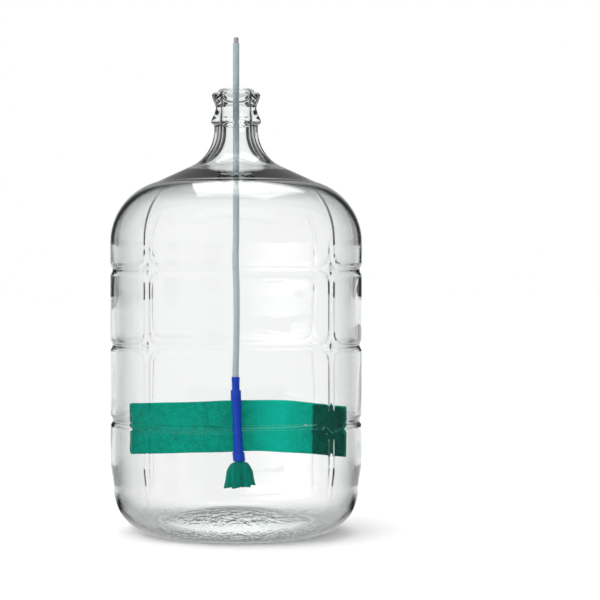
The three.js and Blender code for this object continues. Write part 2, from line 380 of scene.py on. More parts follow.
def make_bottle():
    """The closed skin: each point of the line turned through every angle, less the dip at the grooves."""
    outside, mouth, inside = outside_line(), mouth_line(), inside_line()
    line = np.vstack([outside, mouth, inside])
    angle = column_angles()
    z, a = np.meshgrid(line[:, 1], angle, indexing="ij")
    r = np.repeat(line[:, :1], len(angle), axis=1)
    dip, level = panel_dip(a, z, np.maximum(r, 1.0))
    run = np.gradient(line, axis=0)
    run /= np.maximum(np.linalg.norm(run, axis=1, keepdims=True), 1e-9)
    row = np.arange(len(line))[:, None]
    is_outside = row < len(outside)
    is_inner_wall = (row >= len(outside) + len(mouth)) & (r > 0.85 * BODY_R) & (z > PANEL_FOOT + 20)
    follow = UPRIGHT_FOLLOW + (LEVEL_FOLLOW - UPRIGHT_FOLLOW) * level
    fade = 1 - smoothstep(SHOULDER_Z - 6.0, SHOULDER_Z, z)
    inner_shift = (unevenness(a, z) - dip * follow) * fade
    r = r - np.where(is_outside, dip * run[:, 1:], 0.0) + np.where(is_inner_wall, inner_shift, 0.0)
    z = z + np.where(is_outside, dip * run[:, :1], 0.0)
    points = np.stack([r * np.cos(a), r * np.sin(a), z], axis=-1)
    points[line[:, 0] < 1e-6, :, :2] = 0.0
    return make_mesh("bottle", points, grid_faces(len(line), len(angle)))


bottle = make_bottle()
print("bottle:", len(bottle.data.polygons), "faces")

# %% [markdown]
# ### The glass
# Clear glass lets everything through and bends it, so its Principled shader has a transmission weight of
# one. Where the face turns away from the eye its colour is painted darker: painted shade at the edges,
# which stands in for a dark room mirrored there. The moulded base is stippled with fine bumps, which
# scatter the light under the bottle.


# %% Glass material
def make_glass():
    """Transmission, a faint green absorption, a darker colour painted where the face turns away as painted
    shade at the edges, and bumps that show only on the base and heel."""
    material, tree, shader = new_material("clear_glass", Roughness=0.0, IOR=1.5, Transmission_Weight=1.0)
    facing = node(tree, "ShaderNodeLayerWeight", {"Blend": 0.5}).outputs["Facing"]
    # Painted shade: where the face turns away the colour goes towards deep, standing in for a dark room
    # mirrored at the edges.
    clear, deep = (1.0, 1.0, 1.0), (0.42, 0.46, 0.45)
    painted_edge_shade = blend_colours(tree, ramp(tree, facing, 0.30, 1.0), clear, deep)
    tree.links.new(painted_edge_shade, shader.inputs["Base Color"])
    place = node(tree, "ShaderNodeTexCoord").outputs["Object"]
    axes = node(tree, "ShaderNodeSeparateXYZ", {"Vector": place}).outputs
    squares = [math(tree, "POWER", axes[k], 2.0) for k in (0, 1)]
    away = math(tree, "SQRT", math(tree, "ADD", *squares))
    low_down = ramp(tree, axes[2], 0.017, 0.026, 1.0, 0.0)
    middle = math(tree, "MULTIPLY", ramp(tree, away, 0.055, 0.082, 1.0, 0.0), low_down)
    heel = math(tree, "MULTIPLY", ramp(tree, away, 0.080, 0.092), ramp(tree, axes[2], 0.004, 0.022, 1.0, 0.0))
    coarse = node(tree, "ShaderNodeTexNoise", {"Vector": place, "Scale": 130.0, "Detail": 2.0}).outputs["Fac"]
    fine = node(tree, "ShaderNodeTexNoise", {"Vector": place, "Scale": 320.0, "Detail": 1.0}).outputs["Fac"]
    heel_bumps = math(tree, "MULTIPLY", fine, math(tree, "MULTIPLY", heel, 0.35))
    height = math(tree, "ADD", math(tree, "MULTIPLY", coarse, middle), heel_bumps)
    bump = node(tree, "ShaderNodeBump", {"Strength": 1.0, "Distance": 0.0025, "Height": height})
    tree.links.new(bump.outputs["Normal"], shader.inputs["Normal"])
    depth = node(tree, "ShaderNodeVolumeAbsorption", {"Color": (0.80, 0.90, 0.87, 1.0), "Density": 9.0})
    tree.links.new(depth.outputs["Volume"], tree.nodes["Material Output"].inputs["Volume"])
    return material


def settle(piece, body, replaced, material):
    """Gives a piece its material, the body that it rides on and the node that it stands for."""
    piece.data.materials.clear()
    piece.data.materials.append(material)
    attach(piece, body)
    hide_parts(replaced)
    print(piece.name, "stands for", replaced, "with", len(piece.data.polygons), "faces")


settle(bottle, "carboy", "carboy_glass", make_glass())

# %% [markdown]
# ## Fine marks that several finishes share
# Drawn steel and extruded plastic both carry faint lines along their length, and cloth, pads and plastic
# are all a little uneven in colour. Each of these is a node group, placed in a material with its own values.


# %% Streaks and mottle
def make_streaks():
    """Noise squeezed across Z and stretched along it, so that it makes lines: a value from 0 to 1."""
    group, given, result = new_group(
        "drawn_streaks",
        {"Vector": ("Vector", None), "Scale": ("Float", 900.0), "Stretch": ("Float", 0.03)},
        {"Value": "Float"},
    )
    along = node(group, "ShaderNodeCombineXYZ", {"X": 1.0, "Y": 1.0, "Z": given.outputs["Stretch"]})
    factors = {0: given.outputs["Vector"], 1: along.outputs[0]}
    scaled = node(group, "ShaderNodeVectorMath", factors, operation="MULTIPLY")
    noise = node(
        group,
        "ShaderNodeTexNoise",
        {"Vector": scaled.outputs[0], "Scale": given.outputs["Scale"], "Detail": 3.0, "Roughness": 0.6},
    )
    group.links.new(noise.outputs["Fac"], result.inputs["Value"])
    return group


def make_mottle():
    """Two noises of different size, mixed by share and sharpened about their middle: a value from 0 to 1."""
    group, given, result = new_group(
        "mottle",
        {
            "Vector": ("Vector", None),
            "Coarse": ("Float", 90.0),
            "Fine": ("Float", 600.0),
            "Fine Share": ("Float", 0.5),
        },
        {"Value": "Float"},
    )
    place = given.outputs["Vector"]
    noises = [
        node(group, "ShaderNodeTexNoise", {"Vector": place, "Scale": given.outputs[size], "Detail": 3.0})
        for size in ("Coarse", "Fine")
    ]
    mix = node(
        group,
        "ShaderNodeMix",
        {0: given.outputs["Fine Share"], 2: noises[0].outputs["Fac"], 3: noises[1].outputs["Fac"]},
    )
    group.links.new(ramp(group, mix.outputs[0], 0.32, 0.68), result.inputs["Value"])
    return group


streaks, mottle = make_streaks(), make_mottle()


def placed(tree, group, vector, **values):
    """A group placed in a material and read at a vector: its value."""
    made = node(tree, "ShaderNodeGroup", node_tree=group)
    tree.links.new(vector, made.inputs["Vector"])
    for key, value in values.items():
        made.inputs[key.replace("_", " ")].default_value = value
    return made.outputs["Value"]


# %% [markdown]
# ## The rod, its sleeve and the two tubes
# The wand's straight pieces are a solid rod and round pipes, so each is a line of (radius, height) points
# turned about the wand's axis. Low down the holder tube has bent a little to one side, and the pieces there
# follow the same bend: the axis moves aside as the square of the distance below where the bend starts.

# %% Wand sizes, in millimetres
GAP = 0.3
ROD_R, SLEEVE_R, COUPLING_R, HOLDER_R = 2.8, 3.5, 4.2, 5.6
COLLAR_WALL = 0.9
BOW, BOW_START = 3.2, 125.0
HOLDER_FOOT, HOLDER_TOP = 79.8, 155.8


def bow_at(z):
    """How far the axis has moved towards +X: BOW times the squared share of the way down the bend."""
    return BOW * (np.maximum(0.0, BOW_START - z) / (BOW_START - HOLDER_FOOT)) ** 2


def turned_about_wand(name, line, columns=48, loop=False):
    """A line of (r, z) turned about the bent axis; a loop closes on itself and makes a pipe."""
    z, a = np.meshgrid(line[:, 1], np.linspace(0, 2 * np.pi, columns, endpoint=False), indexing="ij")
    r = np.repeat(line[:, :1], columns, axis=1)
    points = np.stack([r * np.cos(a) + bow_at(z), r * np.sin(a), z], axis=-1)
    return make_mesh(name, points, grid_faces(len(line), columns, closed_rows=loop), sharp=40)


def pipe_line(low, high, outer, inner, edge, rows=2):
    """A pipe's cut face: up the outside, over a rounded end, down the bore and round to the start."""
    up = np.linspace(low + edge, high - edge, rows)
    corner = np.linspace(0, np.pi / 2, 4)[1:]
    top = np.column_stack([outer - edge * (1 - np.cos(corner)), high - edge * (1 - np.sin(corner))])
    back = corner[::-1]
    foot = np.column_stack([outer - edge * (1 - np.cos(back)), low + edge * (1 - np.sin(back))])
    outside = np.column_stack([np.full(rows, outer), up])
    inside = np.column_stack([np.full(rows, inner), np.linspace(high, low, rows)])
    return np.vstack([outside, top, inside, foot])


# %% Make the straight pieces
rod_foot, rod_top = node_heights("drive_rod")
rod_line = rounded(
    [[0, rod_foot], [ROD_R, rod_foot], [ROD_R, rod_top - 1.8], [ROD_R - 0.9, rod_top], [0, rod_top]], 0.7, 0.2
)
rod = turned_about_wand("rod", rod_line)

sleeve_foot, sleeve_top = node_heights("shaft_sleeve")
sleeve_line = pipe_line(sleeve_foot, sleeve_top, SLEEVE_R, ROD_R + GAP, 0.25)
sleeve = turned_about_wand("sleeve", sleeve_line, loop=True)

coupling_foot, coupling_top = node_heights("coupling_tube")


def grip(z):
    """How far the coupling stands proud near its top, in mm: 0.25 times a smooth step over 2 mm."""
    return 0.25 * smoothstep(coupling_top - 6.0, coupling_top - 4.0, z)


coupling_line = pipe_line(coupling_foot, coupling_top, COUPLING_R, ROD_R + GAP, 0.4, 14)
on_outside = coupling_line[:, 0] > COUPLING_R - 0.5
coupling_line[:, 0] += np.where(on_outside, grip(coupling_line[:, 1]), 0.0)
coupling = turned_about_wand("coupling", coupling_line, loop=True)

cuff_foot, cuff_top = node_heights("end_collar")


def cuff_swell(z):
    """Two soft rings round the cuff, 0.18 mm high, as a rolled edge leaves."""
    return 0.09 * (1 - np.cos(4 * np.pi * (z - cuff_foot) / (cuff_top - cuff_foot)))


cuff_line = pipe_line(cuff_foot, cuff_top, HOLDER_R + GAP + COLLAR_WALL, HOLDER_R + GAP, 0.4, 14)
on_outside = cuff_line[:, 0] > HOLDER_R + GAP + 0.3
cuff_line[:, 0] += np.where(on_outside, cuff_swell(cuff_line[:, 1]) - 0.1, 0.0)
cuff = turned_about_wand("cuff", cuff_line, loop=True)

# %% [markdown]
# ## The cloth strips
# Each strip is a length of microfibre cloth that passes through a slit in the holder tube. It swings in a
# long S in plan, with both ends curled forwards, and its right end hangs a little. The same formula places
# the strip, its pads and the slit.

# %% Strip sizes and their line
STRIP_LEFT, STRIP_RIGHT, STRIP_REACH = 113.0, 117.5, 117.0
STRIP_TALL, STRIP_THICK = 27.4, 2.6
STRIP_CURL, STRIP_DROOP = 34.0, 3.5
STRIPS = {"upper": {"foot": 116.4, "wave": 20.0}, "lower": {"foot": 88.9, "wave": 17.0}}
PAD_LONG, PAD_THICK, PAD_MARGIN = 31.0, 7.0, 1.0


def plan_line(wave, x):
    """y at x, with u = x over the reach: wave * sin(pi u) * (1 - |u| / 2) - curl * u squared."""
    u = x / STRIP_REACH
    return wave * np.sin(np.pi * u) * (1 - np.abs(u) / 2) - STRIP_CURL * u**2


def droop_at(x):
    """How far the right half hangs: the droop times the squared share of the reach."""
    return STRIP_DROOP * np.maximum(0.0, x / STRIP_REACH) ** 2


def on_strip(strip, x, offset, height):
    """Points that lie offset square to the plan line at x, at a height over the strip's foot."""
    slope = plan_line(strip["wave"], x + 0.5) - plan_line(strip["wave"], x - 0.5)
    long = np.hypot(1.0, slope)
    px = x - offset * slope / long
    py = plan_line(strip["wave"], x) + offset / long
    return np.stack([px, py, height + strip["foot"] - droop_at(px)], axis=-1)


def slab_section(half_thick, half_tall, step):
    """A slab's rounded outline (offset, height): up the front, over the top, down the back and round."""
    up = np.linspace(half_thick - half_tall, half_tall - half_thick, int(2 * half_tall / step))
    turn = np.linspace(0, np.pi, 7)[1:-1]
    over = np.column_stack([-half_thick * np.cos(turn), half_tall - half_thick + half_thick * np.sin(turn)])
    front = np.column_stack([np.full(len(up), -half_thick), up])
    return np.vstack([front, over, -front, -over])


def along_slab(strip, low, high, middle, half_thick, tall, foot, step, end, relief):
    """A slab's points: its outline carried along the plan line, drawn in over the last few tenths of a mm
    at each end so that it closes, and moved out by relief, a grid of mm for (row, column)."""
    ends = end * (1 - np.cos(np.linspace(0, np.pi / 2, 5)))
    x = np.concatenate([low + ends, np.arange(low + end + step, high - end, step), (high - ends)[::-1]])
    section = slab_section(half_thick, tall / 2, step)
    near_end = np.minimum(x - low, high - x)
    thin = np.sqrt(np.clip(1 - (1 - np.clip(near_end / end, 0, 1)) ** 2, 0, 1))[:, None]
    lumps = relief(len(x), len(section)) * thin
    side = np.sign(section[None, :, 0]) * np.clip(np.abs(section[None, :, 0]) / half_thick * 3, 0, 1)
    offset = middle + section[None, :, 0] * thin + lumps * side
    height = foot + tall / 2 + section[None, :, 1] - end * (1 - thin) * np.sign(section[None, :, 1])
    wide_x = np.repeat(x[:, None], len(section), axis=1)
    return on_strip(strip, wide_x, offset, height), x


# %% [markdown]
# ### The slit tube
# The holder tube is a plain pipe with two slits cut right through it. A boolean with a thin slab that
# follows each strip leaves a slit of exactly the strip's shape.


# %% Holder tube
def cut(piece, cutter):
    """Takes one closed shape out of another, for good."""
    knife = piece.modifiers.new("cut", "BOOLEAN")
    knife.operation = "DIFFERENCE"
    knife.solver = "EXACT"
    knife.object = cutter
    shown = piece.evaluated_get(bpy.context.evaluated_depsgraph_get())
    data = bpy.data.meshes.new_from_object(shown)
    piece.modifiers.clear()
    piece.data = data
    bpy.data.objects.remove(cutter)


def flat_relief(rows, columns):
    """No relief."""
    return np.zeros((rows, columns))


def make_holder():
    """The pipe less a slab a gap larger than each strip."""
    line = pipe_line(HOLDER_FOOT, HOLDER_TOP, HOLDER_R, COUPLING_R + GAP, 0.5, 60)
    holder = turned_about_wand("holder", line, columns=64, loop=True)
    for strip in STRIPS.values():
        points, x = along_slab(
            strip, -10.0, 10.0, 0.0, STRIP_THICK / 2 + GAP, STRIP_TALL + 2 * GAP, -GAP, 1.0, 0.5, flat_relief
        )
        slit = make_mesh("slit", points, grid_faces(len(x), points.shape[1]))
        cut(holder, slit)
    holder.data.shade_smooth()
    holder.data.set_sharp_from_angle(angle=np.radians(35))
    return holder


holder = make_holder()


# %% [markdown]
# ### The cloth surface
# Microfibre cloth is a dense pile of tiny loops. The mesh carries the larger nubs and a slow ripple, and
# the material adds the loops. A map in metres along and across each strip keeps the pattern on the cloth.


# %% Strips
def random_lumps(chance, rows, columns):
    """Random numbers, each made the mean of itself and its neighbours one row and one column back."""
    lumps = chance.normal(size=(rows, columns))
    return (lumps + np.roll(lumps, 1, axis=0) + np.roll(lumps, 1, axis=1)) / 3


def cloth_relief(seed):
    """Nubs of 0.1 mm from smoothed random numbers, and a slow ripple of 0.15 mm along the strip."""
    chance = np.random.default_rng(seed)

    def relief(rows, columns):
        nubs = random_lumps(chance, rows, columns)
        along = np.linspace(0, 1, rows)[:, None]
        around = np.linspace(0, 2 * np.pi, columns)[None, :]
        return 0.12 * nubs + 0.15 * np.sin(70 * along + 2 * np.sin(around + seed))

    return relief


def map_along_strip(piece, strip):
    """A UV map in metres: the length along the plan line, and the height."""
    x = np.linspace(-STRIP_LEFT - 12, STRIP_RIGHT + 12, 600)
    length = np.concatenate([[0.0], np.cumsum(np.hypot(np.diff(x), np.diff(plan_line(strip["wave"], x))))])
    data = piece.data
    points = np.empty(len(data.vertices) * 3)
    data.vertices.foreach_get("co", points)
    points = points.reshape(-1, 3) / MM
    corner = np.empty(len(data.loops), dtype=np.int32)
    data.loops.foreach_get("vertex_index", corner)
    flat = np.column_stack([np.interp(points[:, 0], x, length), points[:, 2] + points[:, 1] * 0.37]) * MM
    layer = data.uv_layers.new(name="cloth")
    layer.uv.foreach_set("vector", flat[corner].ravel())


def strip_length(strip):
    """The strip's flat length in mm, measured along its plan line."""
    x = np.linspace(-STRIP_LEFT, STRIP_RIGHT, 800)
    return np.hypot(np.diff(x), np.diff(plan_line(strip["wave"], x))).sum()


def make_strip(name, strip, seed):
    """The cloth slab along the whole of the plan line."""
    points, x = along_slab(
        strip, -STRIP_LEFT, STRIP_RIGHT, 0.0, STRIP_THICK / 2, STRIP_TALL, 0.0, 0.8, 0.7, cloth_relief(seed)
    )
    piece = make_mesh(f"{name}_cloth", points, grid_faces(len(x), points.shape[1]))
    map_along_strip(piece, strip)
    return piece


strip_pieces = {name: make_strip(name, strip, 3 + k) for k, (name, strip) in enumerate(STRIPS.items())}
for name, strip in STRIPS.items():
    print(name, "strip is cut", round(strip_length(strip)), "mm long")

# %% [markdown]
# ### The scouring pads
# A scouring pad is a mat of stiff curled fibres stuck together. Its core is a lumpy slab, and a few hundred
# thin fibres lie in its faces at every angle. Each fibre is a three-sided tube bent to an arc, and all of a
# pad's fibres are worked out together as one array.


# %% Pads
FIBRES, FIBRE_ROWS = 620, 6


def pad_relief(seed):
    """Lumps and pits of 0.35 mm from random numbers smoothed once."""
    chance = np.random.default_rng(seed)

    def relief(rows, columns):
        return 0.35 * random_lumps(chance, rows, columns) - 0.35

    return relief


def fibre_points(strip, low, high, middle, seed):
    """Curled fibres in both faces: a start, a direction and a bend drawn for each, then points on the arc
    start + t * direction + t^2 * bend, with three corners round each point."""
    chance = np.random.default_rng(seed)
    t = np.linspace(-0.5, 0.5, FIBRE_ROWS)[None, :]
    x = chance.uniform(low + 1.0, high - 1.0, FIBRES)[:, None]
    height = chance.uniform(PAD_MARGIN + 1.0, STRIP_TALL - PAD_MARGIN - 1.0, FIBRES)[:, None]
    face = np.where(chance.random(FIBRES) < 0.5, -1.0, 1.0)[:, None]
    heading = chance.uniform(0, np.pi, FIBRES)[:, None]
    length = chance.uniform(4.0, 11.0, FIBRES)[:, None]
    bend = chance.uniform(-5.0, 5.0, FIBRES)[:, None]
    depth = chance.uniform(-0.35, 0.0, FIBRES)[:, None]
    fx = x + length * t * np.cos(heading) - bend * t**2 * 2 * np.sin(heading)
    fz = height + length * t * np.sin(heading) + bend * t**2 * 2 * np.cos(heading)
    fx = np.clip(fx, low + 0.2, high - 0.2)
    fz = np.clip(fz, PAD_MARGIN + 0.2, STRIP_TALL - PAD_MARGIN - 0.2)
    lift = depth + 0.35 * np.sin(3 * t + heading * 5)
    half = PAD_THICK / 2
    fo = middle + face * np.clip(half - 0.55 + lift, 0.0, half - 0.2)
    radius = 0.16 * np.sqrt(np.clip(1 - (2 * t) ** 8, 0.0, 1.0))
    corner = np.arange(3) * 2 * np.pi / 3
    out = radius[..., None] * np.cos(corner)
    side = radius[..., None] * np.sin(corner)
    across_x = -np.sin(heading)[..., None] * side
    across_z = np.cos(heading)[..., None] * side
    return on_strip(strip, fx[..., None] + across_x, fo[..., None] + out, fz[..., None] + across_z)


def make_pad(name, strip, side, seed):
    """The core slab and its fibres in one mesh."""
    ends = {"right": (STRIP_RIGHT - PAD_LONG, STRIP_RIGHT), "left": (-STRIP_LEFT, PAD_LONG - STRIP_LEFT)}
    low, high = ends[side]
    middle = (STRIP_THICK / 2 + GAP + PAD_THICK / 2) * (-1 if side == "right" else 1)
    tall = STRIP_TALL - 2 * PAD_MARGIN
    core, x = along_slab(
        strip, low, high, middle, PAD_THICK / 2 - 0.35, tall, PAD_MARGIN, 1.2, 1.6, pad_relief(seed)
    )
    core_faces = grid_faces(len(x), core.shape[1])
    fibres = fibre_points(strip, low, high, middle, seed + 50)
    one = grid_faces(FIBRE_ROWS, 3)
    starts = core.shape[0] * core.shape[1] + np.arange(FIBRES)[:, None, None] * FIBRE_ROWS * 3
    fibre_faces = (one[None, :, :] + starts).reshape(-1, 4)
    points = np.vstack([core.reshape(-1, 3), fibres.reshape(-1, 3)])
    return make_mesh(f"{name}_{side}_fibre_pad", points, np.vstack([core_faces, fibre_faces]))


pads = {
    (name, side): make_pad(name, strip, side, 20 + 2 * k + (side == "left"))
    for k, (name, strip) in enumerate(STRIPS.items())
    for side in ("right", "left")
}

# %% [markdown]
# ## The tuft
# Below the tube the cloth is gathered and springs open in flat, angular folds. Seen from above, a fold is a
# corner that stands out and a valley that lies in, so the radius follows a triangle wave, deeper towards the
# hem. A second, smaller skirt inside the first fills the mouth, as the other layer of a bundle would.

# %% Tuft sizes
TUFT_TOP, TUFT_FOOT = 78.6, 56.5
TUFT_NECK_R, TUFT_MOUTH_R, TUFT_STEM_R = 7.2, 19.2, 3.9
TUFT_CLOTH = 1.5
TUFT_LEAN = np.radians(2.0)
PLEATS = 6


def triangle(angle):
    """A triangle wave of the pleats, 1 on a ridge and -1 in a valley, its corners eased a little."""
    wave = 2 / np.pi * np.arcsin(0.985 * np.sin(angle))
    return wave / (2 / np.pi * np.arcsin(0.985))


def skirt(share, angle, scale, turn, inset):
    """Points on a skirt: radius grows as share^0.55 from neck to mouth, less a fold that deepens with
    share, less the inset; the hem rises in the valleys."""
    fold = triangle(PLEATS * angle + turn) + 0.25 * triangle(2 * PLEATS * angle + 2.1 * turn + 0.6)
    depth = (0.05 + 0.17 * share) * (1 - fold / 1.25)
    r = (TUFT_NECK_R + (TUFT_MOUTH_R - TUFT_NECK_R) * share**0.55) * scale * (1 - depth) - inset
    hem = 2.6 * share**3 * (0.5 - fold / 2.5) + 1.2 * share**3 * np.sin(angle + 0.8)
    z = TUFT_TOP - 1.2 + (TUFT_FOOT - TUFT_TOP + 2.4) * share + hem
    return np.maximum(r, 0.4), z


def skirt_shell(scale, turn, stem):
    """One closed shell: from a stem or a point on the axis, down the outside, round the hem and back up."""
    columns = 240
    angle = np.linspace(0, 2 * np.pi, columns, endpoint=False)[None, :]
    share = np.linspace(0.0, 1.0, 34)[:, None]
    outer_r, outer_z = skirt(share, angle, scale, turn, 0.0)
    hem_r, hem_z = skirt(np.ones((1, 1)), angle, scale, turn, TUFT_CLOTH / 2)
    inner_r, inner_z = skirt(share[::-1], angle, scale, turn, TUFT_CLOTH)
    inner_z = inner_z - 1.2 * (1 - share[::-1])
    plain = np.ones((1, columns))
    top = [(0 * plain, stem * plain), (TUFT_STEM_R * scale * plain, stem * plain)]
    top += [(TUFT_STEM_R * scale * plain, (TUFT_TOP + 0.2) * plain)]
    under = (0 * plain, (TUFT_TOP - 3.2) * plain)
    r = np.vstack([t[0] for t in top] + [outer_r, hem_r, inner_r, under[0]])
    z = np.vstack([t[1] for t in top] + [outer_z, hem_z - 0.35, inner_z, under[1]])
    points = np.stack([r * np.cos(angle), r * np.sin(angle), z], axis=-1)
    return points, grid_faces(len(r), columns)


def tilted(points):
    """The tuft leans with the foot of the bent tube: turned by the bend's tilt about the tube's end."""
    x, y, z = points[:, 0], points[:, 1], points[:, 2] - HOLDER_FOOT
    leaning_x = x * np.cos(TUFT_LEAN) - z * np.sin(TUFT_LEAN) + bow_at(HOLDER_FOOT)
    leaning_z = x * np.sin(TUFT_LEAN) + z * np.cos(TUFT_LEAN) + HOLDER_FOOT
    return np.column_stack([leaning_x, y, leaning_z])


def make_tuft():
    """The outer skirt with its stem, and the smaller one inside it."""
    outer, outer_faces = skirt_shell(1.0, 0.5, HOLDER_FOOT + 5.0)
    inner, inner_faces = skirt_shell(0.66, 2.2, TUFT_TOP - 4.2)
    inner[..., 2] = TUFT_FOOT + 0.5 + (inner[..., 2] - TUFT_FOOT) * 0.8
    points = np.vstack([outer.reshape(-1, 3), inner.reshape(-1, 3)])
    faces = np.vstack([outer_faces, inner_faces + outer.shape[0] * outer.shape[1]])
    return make_mesh("tuft_cloth", tilted(points), faces, sharp=50)


tuft = make_tuft()


TUFT_MAP_R = 0.014  # metres: a radius between the tuft's neck and its mouth


def map_from_place(piece):
    """A UV map in metres for the tuft: the way round its axis, alike to both sides, and the height."""
    data = piece.data
    points = np.empty(len(data.vertices) * 3)
    data.vertices.foreach_get("co", points)
    points = points.reshape(-1, 3)
    corner = np.empty(len(data.loops), dtype=np.int32)
    data.loops.foreach_get("vertex_index", corner)
    round_it = np.abs(np.arctan2(points[:, 1], points[:, 0] - bow_at(HOLDER_FOOT) * MM)) * TUFT_MAP_R
    layer = data.uv_layers.new(name="cloth")
    layer.uv.foreach_set("vector", np.column_stack([round_it, points[:, 2]])[corner].ravel())


map_from_place(tuft)

# %% [markdown]
# ## Finishes of the wand
# Cloth gets a sheen, which brightens it where it turns away from the eye, and a colour that changes with
# the mottle. Its colour also changes by place: paler right of the tube, darker beside it and on the tuft,
# which stands in for soft light and shade. Steel and plastic get their streaks in the roughness and a
# shallow bump.

# %% Cloth and pads
PAINTED_LIGHT_X, PAINTED_LIGHT_REACH = 0.044, 0.024  # metres: the middle and the reach of the painted light on the strips
PAINTED_SHADE_REACH = 0.012  # metres: how fast the painted shade beside the tube dies away
TUFT_PAINTED_SHADE = (0.074, 0.083)  # metres: painted shade on the tuft below the first height, none above the second


def make_cloth():
    """Green microfibre: a mottled colour, loops of just under a millimetre as bump with painted shade
    between them, and a sheen. The painted light right of the tube is exp(-((x - middle) / reach)^2), the
    painted shade beside the tube is exp(-|x| / reach), and the tuft gets painted shade below a height."""
    material, tree, shader = new_material(
        "green_cloth", Roughness=0.82, Sheen_Weight=0.35, Sheen_Roughness=0.45, Specular_IOR_Level=0.08
    )
    shader.inputs["Sheen Tint"].default_value = (0.02, 1.0, 0.75, 1.0)
    place = node(tree, "ShaderNodeUVMap", uv_map="cloth").outputs["UV"]
    uneven = placed(tree, mottle, place, Coarse=110.0, Fine=520.0, Fine_Share=0.55)
    broad = placed(tree, mottle, place, Coarse=22.0, Fine=60.0, Fine_Share=0.3)
    colour = blend_colours(tree, uneven, (0.0, 0.300, 0.205), (0.001, 0.560, 0.400))
    colour = blend_colours(tree, math(tree, "MULTIPLY", broad, 0.3), colour, (0.0, 0.40, 0.285))
    loops = node(tree, "ShaderNodeTexVoronoi", {"Vector": place, "Scale": 1250.0, "Randomness": 0.8})
    # Painted shade: the cloth is darker in the gaps between the loops.
    painted_shade_between_loops = ramp(tree, loops.outputs["Distance"], 0.35, 0.9, 0.0, 0.45)
    colour = blend_colours(tree, painted_shade_between_loops, colour, (0.0, 0.14, 0.10))
    along, _, tall = node(
        tree, "ShaderNodeSeparateXYZ", {"Vector": node(tree, "ShaderNodeTexCoord").outputs["Object"]}
    ).outputs
    # Painted light: the strips are paler on a stretch right of the tube.
    share = math(tree, "DIVIDE", math(tree, "SUBTRACT", along, PAINTED_LIGHT_X), PAINTED_LIGHT_REACH)
    painted_light = math(tree, "EXPONENT", math(tree, "MULTIPLY", math(tree, "POWER", share, 2.0), -1.0))
    colour = blend_colours(tree, math(tree, "MULTIPLY", painted_light, 0.5), colour, (0.001, 0.66, 0.49))
    # Painted shade: the strips are darker beside the tube.
    painted_shade = math(tree, "EXPONENT", math(tree, "DIVIDE", math(tree, "ABSOLUTE", along), -PAINTED_SHADE_REACH))
    colour = blend_colours(tree, math(tree, "MULTIPLY", painted_shade, 0.55), colour, (0.0, 0.17, 0.12))
    # Painted shade: the tuft is darker low down.
    colour = blend_colours(tree, ramp(tree, tall, *TUFT_PAINTED_SHADE, 0.55, 0.0), colour, (0.0, 0.13, 0.095))
    tree.links.new(colour, shader.inputs["Base Color"])
    height = math(tree, "SUBTRACT", math(tree, "MULTIPLY", uneven, 0.6), loops.outputs["Distance"])
    bump = node(tree, "ShaderNodeBump", {"Strength": 0.55, "Distance": 0.0006, "Height": height})
    tree.links.new(bump.outputs["Normal"], shader.inputs["Normal"])
    return material


def make_pad_finish():
    """Dark green fibre: darker in its pits as painted shade, with a few lighter grains of abrasive."""
    material, tree, shader = new_material("scouring_pad", Roughness=0.95, Specular_IOR_Level=0.1)
    place = node(tree, "ShaderNodeTexCoord").outputs["Object"]
    uneven = placed(tree, mottle, place, Coarse=260.0, Fine=1500.0, Fine_Share=0.5)
    # Painted shade: the colour follows the bump's height, darker in the pits.
    colour = blend_colours(tree, uneven, (0.0, 0.065, 0.045), (0.001, 0.165, 0.115))
    grains = node(tree, "ShaderNodeTexVoronoi", {"Vector": place, "Scale": 1900.0}).outputs["Distance"]
    colour = blend_colours(tree, ramp(tree, grains, 0.16, 0.22, 0.5, 0.0), colour, (0.01, 0.24, 0.17))
    tree.links.new(colour, shader.inputs["Base Color"])
    bump = node(tree, "ShaderNodeBump", {"Strength": 0.6, "Distance": 0.0005, "Height": uneven})
    tree.links.new(bump.outputs["Normal"], shader.inputs["Normal"])
    return material


# %% Steel, sleeve and tubing
def make_steel():
    """Drawn steel: bright metal whose roughness runs in lines along the rod."""
    material, tree, shader = new_material("rod_steel", Metallic=0.7)
    shader.inputs["Base Color"].default_value = (0.72, 0.75, 0.74, 1.0)
    place = node(tree, "ShaderNodeTexCoord").outputs["Object"]
    lines = placed(tree, streaks, place, Scale=1500.0, Stretch=0.015)
    tree.links.new(ramp(tree, lines, 0.3, 0.7, 0.34, 0.52), shader.inputs["Roughness"])
    bump = node(tree, "ShaderNodeBump", {"Strength": 0.15, "Distance": 0.0001, "Height": lines})
    tree.links.new(bump.outputs["Normal"], shader.inputs["Normal"])
    return material


PAINTED_LIGHT_SPAN = (0.41, 0.46)  # metres: the heights between which the sleeve's painted light ends


